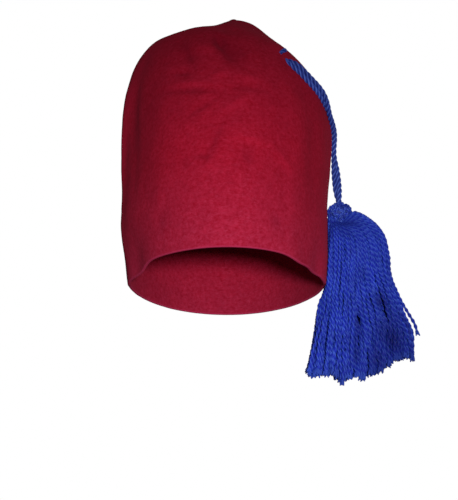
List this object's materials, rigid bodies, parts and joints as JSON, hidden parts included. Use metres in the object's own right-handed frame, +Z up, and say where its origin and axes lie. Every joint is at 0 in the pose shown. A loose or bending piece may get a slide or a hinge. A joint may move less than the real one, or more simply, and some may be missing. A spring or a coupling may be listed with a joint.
{
  "type": "felt fez with tassel",
  "caption": "Soft brimless felt hat with a rounded, slightly peaked crown, open below, and a twisted cord down one side that ends in a knotted yarn tassel.",
  "frame": {"origin": "centre of the rim's opening, where the hat sits around a head", "axes": "+Z up through the crown, square to the rim's plane; -Y the front of the hat; +X the side the tassel hangs on"},
  "size_m": [0.2417, 0.2059, 0.3035],
  "materials": {
    "felt": "matt crimson wool felt",
    "cord_yarn": "twisted royal blue yarn",
    "knot_yarn": "knotted royal blue yarn",
    "tassel_yarn": "loose twisted strands of royal blue yarn"
  },
  "bodies": {
    "root": {"crown": "felt", "tassel_cord": "cord_yarn", "cord_stitch": "cord_yarn", "tassel_head": "knot_yarn", "tassel_skirt": "tassel_yarn"}
  },
  "joints": []
}
